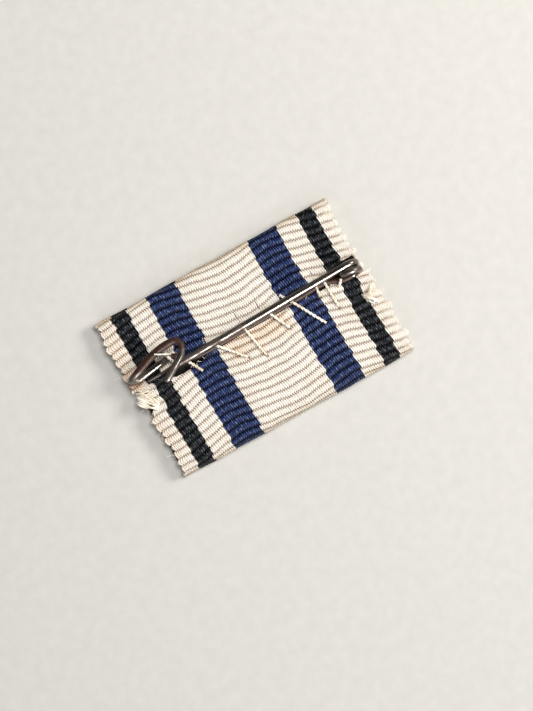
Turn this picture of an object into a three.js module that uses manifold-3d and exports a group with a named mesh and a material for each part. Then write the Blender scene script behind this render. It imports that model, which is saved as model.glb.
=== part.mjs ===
// Ribbon bar of a service medal: one striped ribbon folded round a thin metal plate, its two ends
// meeting in a seam across the back, where a sprung wire pin is laid in the seam and sewn down.
// Millimetres. X runs along the ribbon's width, selvedge to selvedge. Y runs from the lower fold to
// the upper fold. Z runs from the display face, which lies on Z = 0, out through the pinned back.
import * as THREE from "three";
import { mergeVertices } from "three/addons/utils/BufferGeometryUtils.js";
import Module from "manifold-3d";

const wasm = await Module();
wasm.setup();

// ---------------------------------------------------------------- driving dimensions

const RIBBON_WIDTH = 25;
const RIBBON_THICK = 0.5;
const BAR_HEIGHT = 17.1; // fold to fold
const PLATE_THICK = 0.6;
const PLATE_SIDE_INSET = 0.4; // the plate stops this far inside each selvedge
const PLATE_CORNER = 1.2;
const FIT = 0.05; // air between solids that touch on the real bar

const SEAM_Y = 1.2; // the seam crosses the back a little above the middle
const SEAM_SLOPE = 0.016; // and climbs towards the coil
const SEAM_ROOM = 0.08; // between the wire lying in the seam and each ribbon end

const WIRE_D = 0.68;
const WIRE_SIDES = 12;
const COIL_RADIUS = 0.8; // to the middle of the wire
const COIL_SELVEDGE_INSET = 0.25; // from the coil's outside to the selvedge
const COIL_AIR_SHARE = 3 / 34; // air between neighbouring turns, as a share of the wire
const COIL_ROOM = 0.15; // between the coil and the ribbon ends around it

const NEEDLE_RISE_Y = 0.42; // the needle leaves the coil this far above the seam's middle line
const TIP_RISE_Y = 0.2; // and its point lies this far above it
const TIP_SELVEDGE_INSET = 1.45;
const TIP_DROP = 0.48; // middle of the point, below the top of a straight wire lying on the threads
const TAPER_LENGTH = 4.4; // from full thickness to the point
const NECK_LENGTH = 2.1; // the first part of the taper, filed down steeply
const NECK_D = 0.36;
const POINT_D = 0.1;

const HOOK_CLEARANCE = 0.07; // between the needle and the hook that passes over it

const THREAD_D = 0.26;
const THREAD_SIDES = 8;
const THREAD_AIR = 0.03; // between a thread and what it lies on

// ---------------------------------------------------------------- levels and lines

const plateFloor = RIBBON_THICK + FIT;
const plateTop = plateFloor + PLATE_THICK;
const backFace = plateTop + FIT + RIBBON_THICK;
const selvedge = RIBBON_WIDTH / 2;
const wireR = WIRE_D / 2;
const threadR = THREAD_D / 2;
const seamHalf = wireR + SEAM_ROOM;

const grooveZ = plateTop + FIT + wireR; // middle of the wire that lies in the seam
const onBackZ = backFace + FIT + wireR; // middle of a wire that lies on the ribbon's back
const onThreadsZ = grooveZ + wireR + 2 * THREAD_AIR + THREAD_D; // top of a thread over that wire
const coilPitch = WIRE_D * (1 + COIL_AIR_SHARE);
const coilX = selvedge - COIL_SELVEDGE_INSET - wireR - COIL_RADIUS;
const coilZ = grooveZ + COIL_RADIUS;

const seamY = (x) => SEAM_Y + SEAM_SLOPE * x;
const coilY = seamY(coilX) + NEEDLE_RISE_Y; // the turn that the needle leaves from

const tip = new THREE.Vector3(-selvedge + TIP_SELVEDGE_INSET, 0, onThreadsZ + WIRE_D - TIP_DROP);
tip.y = seamY(tip.x) + TIP_RISE_Y;
const needleRoot = new THREE.Vector3(coilX, coilY, coilZ + COIL_RADIUS);
const needleDirection = tip.clone().sub(needleRoot).normalize();

// The needle's middle line at a given x, and its radius there.
function needleAt(x) {
  const point = needleRoot.clone().lerp(tip, (needleRoot.x - x) / (needleRoot.x - tip.x));
  const toTip = Math.max(0, x - tip.x);
  const slimR = NECK_D / 2;
  const pointR = POINT_D / 2;
  const slimLength = TAPER_LENGTH - NECK_LENGTH;
  const radius =
    toTip > TAPER_LENGTH ? wireR
    : toTip > slimLength ? slimR + (wireR - slimR) * ((toTip - slimLength) / NECK_LENGTH)
    : pointR + (slimR - pointR) * (toTip / slimLength);
  return { point, radius };
}

// ---------------------------------------------------------------- solids

function toSolid(geometry) {
  const bare = geometry.clone();
  bare.deleteAttribute("normal");
  bare.deleteAttribute("uv");
  const merged = mergeVertices(bare, 1e-4);
  return new wasm.Manifold(
    new wasm.Mesh({
      numProp: 3,
      vertProperties: new Float32Array(merged.attributes.position.array),
      triVerts: new Uint32Array(merged.index.array),
    }),
  );
}

function toGeometry(solid) {
  const mesh = solid.getMesh();
  const position = new Float32Array(mesh.numVert * 3);
  for (let i = 0; i < mesh.numVert; i++)
    position.set(mesh.vertProperties.subarray(i * mesh.numProp, i * mesh.numProp + 3), i * 3);
  const geometry = new THREE.BufferGeometry();
  geometry.setAttribute("position", new THREE.BufferAttribute(position, 3));
  geometry.setIndex(new THREE.BufferAttribute(new Uint32Array(mesh.triVerts), 1));
  geometry.computeVertexNormals();
  return geometry;
}

// A flat outline in X and Y, given depth from one height to another.
function slab(outline, low, high) {
  const geometry = new THREE.ExtrudeGeometry(outline, {
    depth: high - low,
    bevelEnabled: false,
    curveSegments: 6,
  });
  return geometry.translate(0, 0, low);
}

function circle(radius) {
  return new THREE.Shape().absarc(0, 0, radius, 0, 2 * Math.PI, false);
}

// A round bar along a curve. A full circle is drawn with twice as many sides as curveSegments.
function tube(curve, radius, sides, steps) {
  return new THREE.ExtrudeGeometry(circle(radius), {
    steps,
    curveSegments: sides / 2,
    bevelEnabled: false,
    extrudePath: curve,
  });
}

function smooth(points) {
  return new THREE.CatmullRomCurve3(points, false, "centripetal");
}

// ---------------------------------------------------------------- wire pin

// The coil as a curve: turn 0 is on top, where the needle leaves, and 1.5 turns on it is at the
// bottom, where the wire leaves along the seam.
class CoilCurve extends THREE.Curve {
  constructor(from, to) {
    super();
    this.from = from;
    this.to = to;
  }
  getPoint(t, target = new THREE.Vector3()) {
    const turn = this.from + (this.to - this.from) * t;
    const angle = Math.PI / 2 - 2 * Math.PI * turn;
    return target.set(
      coilX + COIL_RADIUS * Math.cos(angle),
      coilY - coilPitch * turn,
      coilZ + COIL_RADIUS * Math.sin(angle),
    );
  }
}

const COIL_STEPS_PER_TURN = 24;
const COIL_SPLIT = 0.5; // the needle's piece holds the first half turn
const COIL_END = 1.5;
const cutTurn = FIT / (2 * Math.PI * COIL_RADIUS); // a cut through the wire, in turns

function springCoil() {
  const from = COIL_SPLIT + cutTurn;
  const to = COIL_END - cutTurn;
  const steps = Math.round(COIL_STEPS_PER_TURN * (to - from));
  return tube(new CoilCurve(from, to), wireR, WIRE_SIDES, steps);
}

// The needle is the coil's first half turn, a straight shank, and a filed point turned on a lathe.
function needle() {
  const shankEnd = needleAt(tip.x + TAPER_LENGTH).point;
  const turn = toSolid(
    tube(new CoilCurve(COIL_SPLIT, 0), wireR, WIRE_SIDES, COIL_STEPS_PER_TURN / 2),
  );
  const shankLength = needleRoot.distanceTo(shankEnd);
  const slimLength = TAPER_LENGTH - NECK_LENGTH;
  const intoTurn = -wireR / 2; // the shank starts a little way inside the half turn
  const profile = [
    new THREE.Vector2(0, intoTurn),
    new THREE.Vector2(wireR, intoTurn),
    new THREE.Vector2(wireR, shankLength),
    new THREE.Vector2(NECK_D / 2, shankLength + NECK_LENGTH),
    new THREE.Vector2(POINT_D / 2, shankLength + NECK_LENGTH + slimLength - POINT_D / 2),
    new THREE.Vector2(0, shankLength + TAPER_LENGTH),
  ];
  const shank = new THREE.LatheGeometry(profile, WIRE_SIDES);
  const aim = new THREE.Quaternion().setFromUnitVectors(
    new THREE.Vector3(0, 1, 0),
    needleDirection,
  );
  shank.applyQuaternion(aim).translate(needleRoot.x, needleRoot.y, needleRoot.z);
  return toGeometry(toSolid(shank).add(turn));
}

// The base wire runs along the seam, climbs out through the upper ribbon end, lies along the back to
// the selvedge, turns up and back over itself, and ends in the hook that holds the needle down.
// Places on the hook are measured from the selvedge it stands at.
const CLIMB_START = 7.6;
const HOOK_REACH = 6.2; // from the selvedge to the hook's near bend
const HOOK_CROSSING = 4.6; // where the hook passes over the needle
const HOOK_END = 3.2;
const LOOP_RISE = 0.9; // from the wire on the back to the wire above it

const crossingY = needleAt(-selvedge + HOOK_CROSSING).point.y;

function overNeedle(fromSelvedge) {
  const { point, radius } = needleAt(-selvedge + fromSelvedge);
  point.z += radius + HOOK_CLEARANCE + wireR;
  return point;
}

function baseWireCurve() {
  const at = (fromSelvedge, y, z) => new THREE.Vector3(-selvedge + fromSelvedge, y, z);
  const leave = new CoilCurve(0, COIL_END).getPoint(1);
  const crossing = overNeedle(HOOK_CROSSING);
  const high = crossing.z;
  const loopZ = onBackZ + LOOP_RISE;
  const y = crossing.y;
  return smooth([
    // out of the coil and along the seam
    new THREE.Vector3(leave.x - FIT, leave.y, leave.z),
    new THREE.Vector3(coilX - 0.95, leave.y + 0.04, grooveZ),
    new THREE.Vector3(coilX - 2.6, seamY(coilX - 2.6), grooveZ),
    new THREE.Vector3(coilX / 2, seamY(coilX / 2), grooveZ),
    new THREE.Vector3(0, seamY(0), grooveZ),
    at(CLIMB_START, seamY(-selvedge + CLIMB_START), grooveZ),
    // under the needle and up through the upper ribbon end
    at(6.4, y - 0.02, grooveZ),
    at(5.4, y + 0.62, grooveZ + 0.06),
    at(4.6, y + 0.95, onBackZ - 0.22),
    // along the back to the selvedge
    at(3.6, y + 0.88, onBackZ),
    at(2.0, y + 0.66, onBackZ),
    at(0.9, y + 0.52, onBackZ + 0.03),
    // the upright turn
    at(wireR + 0.04, y + 0.72, onBackZ + LOOP_RISE / 2),
    at(0.9, y + 0.98, loopZ),
    // back along the top, bowed away from the needle
    at(2.0, y + 1.4, loopZ + 0.1),
    at(3.6, y + 1.95, high),
    at(5.1, y + 2.15, high + 0.04),
    // round the near bend and over the needle to the free end
    at(HOOK_REACH - 0.3, y + 2.05, high + 0.05),
    at(HOOK_REACH, y + 1.55, high + 0.05),
    at(HOOK_REACH - 0.35, y + 0.8, high + 0.03),
    at(HOOK_CROSSING + 0.5, y + 0.24, high + 0.01),
    at((HOOK_CROSSING + HOOK_END) / 2, y - 0.52, (high + overNeedle(HOOK_END).z) / 2 + 0.04),
    at(HOOK_END, y - 0.92, overNeedle(HOOK_END).z + 0.06),
  ]);
}

const BASE_WIRE_STEPS = 130;

function baseWire() {
  return tube(baseWireCurve(), wireR, WIRE_SIDES, BASE_WIRE_STEPS);
}

// ---------------------------------------------------------------- ribbon and plate

// The seam between the ribbon's two ends, in plan: a slit for the wire, opening into a pocket for the
// coil at one end.
const POCKET_LENGTH = COIL_RADIUS + wireR + COIL_ROOM; // from the coil's axis towards the needle
const pocketTop = coilY + COIL_ROOM;
const pocketBottom = coilY - COIL_END * coilPitch - wireR - COIL_ROOM / 2;

function seamOutline() {
  const past = selvedge + 1;
  const pocketX = coilX - POCKET_LENGTH;
  const slitEnd = pocketX - COIL_RADIUS;
  return new THREE.Shape([
    new THREE.Vector2(-past, seamY(-past) - seamHalf),
    new THREE.Vector2(slitEnd, seamY(slitEnd) - seamHalf),
    new THREE.Vector2(pocketX, pocketBottom),
    new THREE.Vector2(past, pocketBottom),
    new THREE.Vector2(past, pocketTop),
    new THREE.Vector2(pocketX, pocketTop),
    new THREE.Vector2(slitEnd, seamY(slitEnd) + seamHalf),
    new THREE.Vector2(-past, seamY(-past) + seamHalf),
  ]);
}

// A slot shape with round ends, lying across the bar, given its width along X.
function flatLoop(halfHeight, halfThick, width) {
  const bend = halfHeight - halfThick;
  const outline = new THREE.Shape()
    .moveTo(-bend, -halfThick)
    .lineTo(bend, -halfThick)
    .absarc(bend, 0, halfThick, -Math.PI / 2, Math.PI / 2, false)
    .lineTo(-bend, halfThick)
    .absarc(-bend, 0, halfThick, Math.PI / 2, (3 * Math.PI) / 2, false);
  const geometry = new THREE.ExtrudeGeometry(outline, {
    depth: width,
    bevelEnabled: false,
    curveSegments: 10,
  });
  // the outline's own x becomes Y, its y becomes Z, and its depth runs along X
  const turn = new THREE.Matrix4().makeBasis(
    new THREE.Vector3(0, 1, 0),
    new THREE.Vector3(0, 0, 1),
    new THREE.Vector3(1, 0, 0),
  );
  return geometry.applyMatrix4(turn).translate(-width / 2, 0, backFace / 2);
}

function ribbon(holes) {
  const outside = toSolid(flatLoop(BAR_HEIGHT / 2, backFace / 2, RIBBON_WIDTH));
  const inside = toSolid(
    flatLoop(BAR_HEIGHT / 2 - RIBBON_THICK, backFace / 2 - RIBBON_THICK, RIBBON_WIDTH + 2),
  );
  const middle = backFace / 2;
  let made = outside.subtract(inside);
  made = made.subtract(toSolid(slab(seamOutline(), middle, backFace + 1)));
  // where the wire climbs through the upper end and lies on the back, the ribbon is pressed out of
  // its way
  const climb = smooth(baseWireCurve().points.slice(5, 13));
  made = made.subtract(toSolid(tube(climb, wireR + 0.75 * SEAM_ROOM, WIRE_SIDES, 40)));
  for (const hole of holes) {
    const bore = slab(circle(threadR + FIT), middle, backFace + 1);
    made = made.subtract(toSolid(bore.translate(hole.x, hole.y, 0)));
  }
  return toGeometry(made.simplify(0.003));
}

function corePlate() {
  const halfX = selvedge - PLATE_SIDE_INSET;
  const halfY = BAR_HEIGHT / 2 - RIBBON_THICK - FIT - PLATE_THICK / 2;
  const r = PLATE_CORNER;
  const outline = new THREE.Shape()
    .moveTo(-halfX + r, -halfY)
    .lineTo(halfX - r, -halfY)
    .absarc(halfX - r, -halfY + r, r, -Math.PI / 2, 0, false)
    .lineTo(halfX, halfY - r)
    .absarc(halfX - r, halfY - r, r, 0, Math.PI / 2, false)
    .lineTo(-halfX + r, halfY)
    .absarc(-halfX + r, halfY - r, r, Math.PI / 2, Math.PI, false)
    .lineTo(-halfX, -halfY + r)
    .absarc(-halfX + r, -halfY + r, r, Math.PI, (3 * Math.PI) / 2, false);
  return slab(outline, plateFloor, plateTop);
}

// ---------------------------------------------------------------- sewing thread

const onRibbon = backFace + THREAD_AIR + threadR; // middle of a thread lying on the back
const onWire = grooveZ + wireR + 2 * THREAD_AIR + threadR; // and of one crossing the wire in the seam
const STITCH_UP = 0.68; // from the seam's middle line to where a stitch comes up, under the needle

// Where each stitch comes up, how far along the bar it runs, and how far below the seam it goes down.
const STITCHES = [
  { name: "stitch_1", x: -4.1, run: 2.67, down: 2.44 },
  { name: "stitch_2", x: -0.5, run: 0.75, down: 3.15 },
  { name: "stitch_3", x: 2.15, run: 1.28, down: 1.99 },
  { name: "stitch_4", x: 7.6, run: -0.18, down: 0.85 },
  { name: "stitch_5", x: 8.4, run: 0.12, down: 2.56 },
];

// Thread ends that were cut long and lie loose. up is measured from the seam, and lift is the height
// over the way a thread would lie on the ribbon and the seam.
const LOOSE_ENDS = [
  { name: "thread_end_1", x: -6.85, up: 0.35, run: 1.13, fall: 1.8, lift: 0 },
  { name: "thread_end_2", x: 4.1, up: 1.13, run: 2.67, fall: 4.48, lift: 0 },
  { name: "thread_end_3", x: coilX - 1.16, up: -0.45, run: -0.45, fall: 0.55, lift: WIRE_D - 0.56 },
];

// Height of the middle of a thread that lies across the ribbon, the seam and the wire in it.
function lyingZ(x, y) {
  const near = Math.max(0, 1 - Math.abs(y - seamY(x)));
  return onRibbon + (onWire - onRibbon) * near * near * (3 - 2 * near);
}

function stitchHoles(s) {
  const x1 = s.x + s.run;
  return [
    { x: s.x, y: seamY(s.x) + STITCH_UP },
    { x: x1, y: seamY(x1) - s.down },
  ];
}

function stitch(s) {
  const [up, down] = stitchHoles(s);
  const inHole = plateTop + FIT + THREAD_AIR;
  const bend = 1.4 * threadR;
  const length = Math.hypot(down.x - up.x, down.y - up.y);
  const place = (distance, z) => {
    const t = distance / length;
    const x = up.x + (down.x - up.x) * t;
    const y = up.y + (down.y - up.y) * t;
    return new THREE.Vector3(x, y, z ?? lyingZ(x, y));
  };
  const lying = [];
  const count = Math.round((length - 2 * bend) / 0.3);
  for (let i = 0; i <= count; i++) lying.push(place(bend + ((length - 2 * bend) * i) / count));
  const path = [
    place(0, inHole),
    place(0, backFace - bend),
    ...lying,
    place(length, backFace - bend),
    place(length, inHole),
  ];
  return tube(smooth(path), threadR, THREAD_SIDES, 3 * path.length);
}

function looseEnd(e) {
  const points = [];
  const count = 8;
  for (let i = 0; i <= count; i++) {
    const x = e.x + (e.run * i) / count;
    const y = seamY(e.x) + e.up - (e.fall * i) / count;
    points.push(new THREE.Vector3(x, y, lyingZ(x, y) + e.lift));
  }
  return tube(smooth(points), threadR, THREAD_SIDES, 2 * count);
}

// A short bar of thread over the foot of the hook, where the wire comes out of the ribbon, and a long
// end of it that was laid over the hook's upper strand.
const BINDING_AT = 4.55; // from the selvedge

function binding() {
  const x = -selvedge + BINDING_AT;
  const middle = crossingY + 0.93;
  const half = wireR + threadR + 0.16;
  const top = onBackZ + wireR + threadR + THREAD_AIR;
  const at = (side, z) => new THREE.Vector3(x - 0.15 * side, middle + half * side, z);
  return tube(
    smooth([
      at(-1, onRibbon),
      at(-0.8, onRibbon + 0.3),
      at(0, top),
      at(0.8, onRibbon + 0.3),
      at(1, onRibbon),
    ]),
    threadR,
    THREAD_SIDES,
    20,
  );
}

function bindingEnd() {
  const x = -selvedge + BINDING_AT;
  const strand = onBackZ + LOOP_RISE + 0.2;
  const over = overNeedle(HOOK_CROSSING).z + wireR + threadR + THREAD_AIR;
  const end = threadR * 0.7;
  return tube(
    smooth([
      new THREE.Vector3(x + 0.3, crossingY + 1.16, onBackZ + 0.56),
      new THREE.Vector3(x + 0.1, crossingY + 1.27, strand),
      new THREE.Vector3(x - 0.35, crossingY + 1.5, over - 0.12),
      new THREE.Vector3(x - 1.0, crossingY + 1.85, over + 0.06),
    ]),
    end,
    THREAD_SIDES,
    14,
  );
}

// The thread is fastened off in a lump at each end of the seam.
const KNOT_HEIGHT = 0.44;

function knot(x, y, spreadX, spreadY) {
  const lump = new THREE.SphereGeometry(0.5, 12, 8);
  return lump
    .scale(spreadX, spreadY, KNOT_HEIGHT)
    .translate(x, y, backFace + THREAD_AIR + KNOT_HEIGHT / 2);
}

// ---------------------------------------------------------------- the assembly

const colours = {
  ribbon: new THREE.MeshStandardMaterial({ color: 0xe6dccb, roughness: 0.85, metalness: 0 }),
  plate: new THREE.MeshStandardMaterial({ color: 0x4a4540, roughness: 0.6, metalness: 0.8 }),
  wire: new THREE.MeshStandardMaterial({ color: 0x6b5f55, roughness: 0.4, metalness: 1 }),
  thread: new THREE.MeshStandardMaterial({ color: 0xeadfcd, roughness: 0.8, metalness: 0 }),
};

const bar = new THREE.Group();
function add(name, geometry, material) {
  const mesh = new THREE.Mesh(geometry, material);
  mesh.name = name;
  bar.add(mesh);
}

add("ribbon", ribbon(STITCHES.flatMap(stitchHoles)), colours.ribbon);
add("core_plate", corePlate(), colours.plate);
add("base_wire", baseWire(), colours.wire);
add("spring_coil", springCoil(), colours.wire);
add("needle", needle(), colours.wire);
for (const s of STITCHES) add(s.name, stitch(s), colours.thread);
for (const e of LOOSE_ENDS) add(e.name, looseEnd(e), colours.thread);
add("binding", binding(), colours.thread);
add("binding_end", bindingEnd(), colours.thread);
add("knot_left", knot(-selvedge + 1, -0.25, 1.5, 2.1), colours.thread);
add("knot_right", knot(selvedge - 0.8, -1.9, 1.2, 1.4), colours.thread);

export default bar;
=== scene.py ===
# %% [markdown]
# # The pinned back of a service ribbon bar
#
# A ribbon bar is worn on a uniform in place of the full medal. A length of striped ribbon is folded
# round a thin plate, its two cut ends meet in a seam across the back, and a sprung wire pin is laid
# in that seam and sewn down. The bar lies here on its display face, with the pin upwards.
#
# The solid model gives every size and place. This lesson builds the fine surface over it: the ribs
# and yarns of the weave, the drawn wire with its rust, and the twisted sewing thread.

# %% Open the solid model
import math

import bpy
import numpy as np
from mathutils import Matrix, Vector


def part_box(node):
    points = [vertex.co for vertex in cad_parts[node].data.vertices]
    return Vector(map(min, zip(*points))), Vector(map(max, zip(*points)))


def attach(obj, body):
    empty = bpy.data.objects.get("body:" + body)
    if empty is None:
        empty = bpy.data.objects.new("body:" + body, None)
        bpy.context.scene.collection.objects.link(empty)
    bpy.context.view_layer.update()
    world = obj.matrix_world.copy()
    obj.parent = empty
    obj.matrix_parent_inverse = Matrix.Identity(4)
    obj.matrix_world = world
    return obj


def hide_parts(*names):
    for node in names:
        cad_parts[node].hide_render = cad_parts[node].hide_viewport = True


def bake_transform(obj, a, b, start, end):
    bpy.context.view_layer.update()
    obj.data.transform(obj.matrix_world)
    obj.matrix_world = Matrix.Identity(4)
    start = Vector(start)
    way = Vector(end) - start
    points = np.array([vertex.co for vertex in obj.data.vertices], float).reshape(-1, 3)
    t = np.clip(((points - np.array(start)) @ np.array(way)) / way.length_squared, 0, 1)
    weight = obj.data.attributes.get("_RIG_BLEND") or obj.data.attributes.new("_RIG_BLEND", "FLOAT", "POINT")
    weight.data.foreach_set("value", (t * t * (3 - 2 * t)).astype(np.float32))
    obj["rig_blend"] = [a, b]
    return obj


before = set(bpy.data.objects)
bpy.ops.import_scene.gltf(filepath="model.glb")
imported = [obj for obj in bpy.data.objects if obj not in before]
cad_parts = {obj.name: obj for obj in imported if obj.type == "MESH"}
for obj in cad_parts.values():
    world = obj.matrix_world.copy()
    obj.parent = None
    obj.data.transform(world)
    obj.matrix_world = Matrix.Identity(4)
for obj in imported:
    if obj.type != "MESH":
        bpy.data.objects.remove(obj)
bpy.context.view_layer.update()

# %% [markdown]
# ## Sizes
#
# The shapes below are worked out in millimetres, because a yarn is easier to picture as 0.23 than as
# 0.00023. They are turned to metres only when a mesh or curve is made. The levels come from the
# boxes of the solid pieces.

# %% Levels of the bar, in millimetres
MM = 0.001


def box_mm(node):
    low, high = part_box(node)
    return np.array(low) / MM, np.array(high) / MM


ribbon_high = box_mm("ribbon")[1]
HALF_WIDTH = ribbon_high[0]
HALF_HEIGHT = ribbon_high[1]
BACK = ribbon_high[2]
PLATE_TOP = box_mm("core_plate")[1][2]
print(f"bar {2 * HALF_WIDTH:.1f} x {2 * HALF_HEIGHT:.1f} x {BACK:.2f} mm, plate top at {PLATE_TOP:.2f}")

# %% [markdown]
# ## Camera, floor and light
#
# The camera looks straight down on the back and is rolled, so that the bar climbs from lower left to
# upper right. It stands about as far off as a hand-held close-up is taken from, with a lens to suit.

# %% Camera
ROLL = math.radians(29)
DISTANCE = 160  # from the bar's back
FRAME_HEIGHT = 67.8  # what the long side of the frame takes in, in mm
OFF_CENTRE = (1.2, -1.67)  # the middle of the frame, from the middle of the bar
camera_right = np.array([math.cos(ROLL), -math.sin(ROLL), 0])
camera_up = np.array([math.sin(ROLL), math.cos(ROLL), 0])
middle = camera_right * OFF_CENTRE[0] + camera_up * OFF_CENTRE[1]
stand = (middle + np.array([0, 0, BACK + DISTANCE])) * MM
bpy.ops.object.camera_add(location=tuple(stand), rotation=(0, 0, -ROLL))
camera = bpy.context.object
camera.data.sensor_width = 36
camera.data.lens = camera.data.sensor_width * DISTANCE / FRAME_HEIGHT
camera.data.clip_start = 0.01
bpy.context.scene.camera = camera
print(f"lens {camera.data.lens:.1f} mm at {DISTANCE} mm")

# %% [markdown]
# Colours are written as the sRGB hex values that a paint chart gives. Blender works with linear
# light, so one function turns them. One more selects pieces, and one adds a shader node with its
# settings and links.
# A few nodes number their inputs here, because a Mix node has several inputs of one name: for colours,
# 0 is the share, 6 and 7 are the two colours, and output 2 is the result. On a Map Range node, 1 and 2
# are the range that is read, and 3 and 4 the range that comes out.


# %% Colour and node helpers
def colour(code):
    channels = [int(code[i : i + 2], 16) / 255 for i in (1, 3, 5)]
    linear = [c / 12.92 if c <= 0.04045 else ((c + 0.055) / 1.055) ** 2.4 for c in channels]
    return (*linear, 1.0)


def select(*pieces):
    bpy.ops.object.select_all(action="DESELECT")
    for piece in pieces:
        piece.select_set(True)
    bpy.context.view_layer.objects.active = pieces[0]


def add_node(tree, kind, inputs=None, **settings):
    """Adds a node. Each input is given a value, or the output of another node that feeds it."""
    node = tree.nodes.new(kind)
    for name, value in settings.items():
        setattr(node, name, value)
    for socket, source in (inputs or {}).items():
        if isinstance(source, bpy.types.NodeSocket):
            tree.links.new(source, node.inputs[socket])
        else:
            node.inputs[socket].default_value = source
    return node


def start_material(name, **sockets):
    material = bpy.data.materials.new(name)
    material.use_nodes = True
    tree = material.node_tree
    shader = tree.nodes["Principled BSDF"]
    for socket, value in sockets.items():
        shader.inputs[socket.replace("_", " ")].default_value = value
    return material, tree, shader


print("white card is", [round(c, 2) for c in colour("#f2f0ea")])

# %% [markdown]
# The floor is plain pale card. It is far bigger than the bar, so that no edge of it shows from any
# side.

# %% Floor
bpy.ops.mesh.primitive_plane_add(size=2, location=(0, 0, -0.02 * MM))
floor = bpy.context.object
floor.name = "floor"
card, card_tree, card_shader = start_material("pale card", Roughness=0.85)
card_place = add_node(card_tree, "ShaderNodeTexCoord")
card_fleck = add_node(
    card_tree,
    "ShaderNodeTexNoise",
    {"Vector": card_place.outputs["Object"], "Scale": 900, "Detail": 3},
)
card_tone = add_node(card_tree, "ShaderNodeValToRGB", {"Fac": card_fleck.outputs["Fac"]})
card_tone.color_ramp.elements[0].color = colour("#bdbab4")
card_tone.color_ramp.elements[1].color = colour("#cbc8c2")
card_tree.links.new(card_tone.outputs["Color"], card_shader.inputs["Base Color"])
floor.data.materials.append(card)
print("floor", tuple(floor.dimensions))

# %% [markdown]
# The key light is a soft disk to the right. A second disk hangs high over the bar and is kept out of
# reflections, so it lights the weave and adds no gloss. A third is seen only in reflections, and draws
# the bright line on the wire. A weak wide one and a dim even sky lift the shadows. The bar is tiny, so
# the lights are small as well: an 11 cm disk is a big soft box to a 25 mm object.


# %% Lights
def soft_light(name, right, up, height, size, watts, tint):
    place = (camera_right * right + camera_up * up + np.array([0, 0, height])) * MM
    bpy.ops.object.light_add(type="AREA", location=tuple(place))
    light = bpy.context.object
    light.name = name
    light.data.shape = "DISK"
    light.data.size = size * MM
    light.data.energy = watts
    light.data.color = colour(tint)[:3]
    aim = -light.location
    light.rotation_euler = aim.to_track_quat("-Z", "Y").to_euler()
    return light


key = soft_light("key_light", 200, 82, 185, 110, 0.61, "#fffdf8")
overhead = soft_light("overhead_light", 38, 62, 300, 120, 0.74, "#ffffff")
overhead.visible_glossy = False
streak_light = soft_light("streak_light", 147, -216, 200, 95, 2.0, "#ffffff")
streak_light.visible_diffuse = False
fill = soft_light("fill_light", -40, -265, 200, 240, 0.2, "#f2f5ff")
world = bpy.data.worlds.new("studio")
bpy.context.scene.world = world
world.use_nodes = True
sky = world.node_tree.nodes["Background"]
sky.inputs["Color"].default_value = colour("#f4f3f0")
sky.inputs["Strength"].default_value = 0.14
bpy.context.scene.view_settings.view_transform = "Standard"
print("key", key.data.energy, "W, fill", fill.data.energy, "W")

# %% [markdown]
# ## Routes
#
# Wire and thread both follow a line through space. A route is given by a few points, and a smooth
# line is passed through them that doesn't overshoot where the points stand close together
# (the centripetal Catmull-Rom curve). The solid pin was drawn with the same curve, so the fine wire
# lies exactly where the solid one does.


# %% A smooth line through points
def smooth_route(points, per_span):
    points = np.array(points, float)
    ring = np.vstack([2 * points[0] - points[1], points, 2 * points[-1] - points[-2]])
    line = []
    for a, b, c, d in zip(ring, ring[1:], ring[2:], ring[3:]):
        steps = [np.linalg.norm(q - p) ** 0.5 for p, q in ((a, b), (b, c), (c, d))]
        ta, tb, tc, td = 0, steps[0], steps[0] + steps[1], sum(steps)
        t = np.linspace(tb, tc, per_span, endpoint=False)[:, None]
        ab = (a * (tb - t) + b * (t - ta)) / (tb - ta)
        bc = (b * (tc - t) + c * (t - tb)) / (tc - tb)
        cd = (c * (td - t) + d * (t - tc)) / (td - tc)
        abc = (ab * (tc - t) + bc * (t - ta)) / (tc - ta)
        bcd = (bc * (td - t) + cd * (t - tb)) / (td - tb)
        line.append((abc * (tc - t) + bcd * (t - tb)) / (tc - tb))
    return np.vstack([*line, points[-1:]])


print("a line through three points has", len(smooth_route([(0, 0, 0), (1, 0, 0), (1, 1, 0)], 4)), "points")

# %% [markdown]
# ## The ribbon
#
# This is a ribbed silk weave: thick weft cords run across the width, and fine warp yarns cover them
# and dip between one cord and the next. That gives rounded ribs 0.78 mm apart, with tooth-like warp
# floats whose ends interlock along each groove. One flat length is folded round the plate, so it is
# modelled as one sheet. Each point of it is known by two numbers: how far across the width it lies,
# and how far along the length. A fold path turns the second into a place, and the rib and yarn
# pattern raises the surface there. Cloth simulation would blur ribs this fine, and a bump in the
# material wouldn't show in the outline, so the ribs are real mesh.

# %% The fold path
RIB = 0.78  # from one rib to the next
YARNS = 108  # warp yarns across the width, drawn a little coarser than the real ones so that they show
YARN = 2 * HALF_WIDTH / YARNS
FOLD = BACK / 2
TURN = math.pi * FOLD
Y_FOLD = HALF_HEIGHT - FOLD  # where the flat flap ends and the fold begins
FRONT_START = Y_FOLD + TURN
FRONT_END = FRONT_START + 2 * Y_FOLD
FLAP_START = FRONT_END + TURN  # where the lower flap begins, and y is -Y_FOLD
UPPER_END, LOWER_END = 0.6, FLAP_START + Y_FOLD + 2.2


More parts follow.
